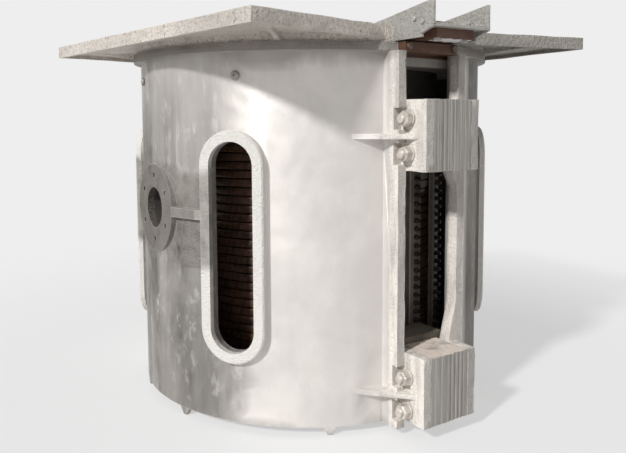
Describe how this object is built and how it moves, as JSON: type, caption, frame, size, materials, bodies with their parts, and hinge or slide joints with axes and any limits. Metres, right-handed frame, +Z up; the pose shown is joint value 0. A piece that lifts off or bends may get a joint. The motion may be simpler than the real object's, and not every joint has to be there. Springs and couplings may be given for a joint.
{
  "type": "vacuum induction melting furnace",
  "caption": "Tilting coreless induction melting furnace body: split cast aluminium shell with windows, coil and posts, crucible lining, deck plates and pour spout.",
  "frame": {"origin": "on the shell's axis at the level of the feet, which is the centre of the bounding box's underside", "axes": "+Z up, -Y towards the pour spout, +X along the trunnion axis towards the right side seen from the back"},
  "size_m": [1.406, 1.4, 1.14],
  "materials": {
    "cast_aluminium": "rough cast, satin",
    "deck_casting": "rough sand cast",
    "spout_steel": "bare plate",
    "pack_board": "grey laminated insulating board",
    "bakelite": "brown pressed insulating board",
    "fastener_steel": "zinc plated",
    "joint_strip": "dark insulating board",
    "coil_copper": "brown insulating varnish",
    "post_board": "grey-brown insulating board",
    "bare_copper": "bare copper",
    "refractory": "rammed lining",
    "fibre_sleeve": "mica and fibre sheet",
    "coil_grout": "trowelled grout",
    "cement_board": "pressed cement board",
    "castable": "cast refractory concrete"
  },
  "bodies": {
    "root": {"base_block": "castable", "base_board": "cement_board", "coil_grout": "coil_grout", "coil_post_01": "post_board", "coil_post_02": "post_board", "coil_post_03": "post_board", "coil_post_04": "post_board", "coil_post_05": "post_board", "coil_post_06": "post_board", "coil_post_07": "post_board", "coil_post_08": "post_board", "coil_post_09": "post_board", "coil_post_10": "post_board", "coil_post_nuts": "fastener_steel", "collar_block_bolts": "fastener_steel", "collar_block_front": "bakelite", "collar_block_rear": "bakelite", "crucible_lining": "refractory", "deck_half_left": "deck_casting", "deck_half_right": "deck_casting", "deck_joint_strip_front": "joint_strip", "deck_joint_strip_rear": "joint_strip", "foot_lugs": "cast_aluminium", "gap_filler_front": "castable", "induction_coil": "coil_copper", "lining_sleeve": "fibre_sleeve", "pack_front_lower": "pack_board", "pack_front_upper": "pack_board", "pack_rear_lower": "pack_board", "pack_rear_upper": "pack_board", "pack_studs": "fastener_steel", "shell_half_left": "cast_aluminium", "shell_half_right": "cast_aluminium", "shell_screws": "fastener_steel", "spout_bolts": "fastener_steel", "spout_cheek_left": "spout_steel", "spout_cheek_right": "spout_steel", "spout_floor": "spout_steel", "spout_insulating_block": "bakelite", "spout_weir": "spout_steel", "terminal_bar_lower": "bare_copper", "terminal_bar_upper": "bare_copper", "terminal_block_lower": "bare_copper", "terminal_block_upper": "bare_copper", "terminal_nipples": "bare_copper", "top_block": "castable", "top_ring_board": "cement_board", "top_ring_brackets": "fastener_steel", "top_ring_seal": "bakelite"}
  },
  "joints": []
}
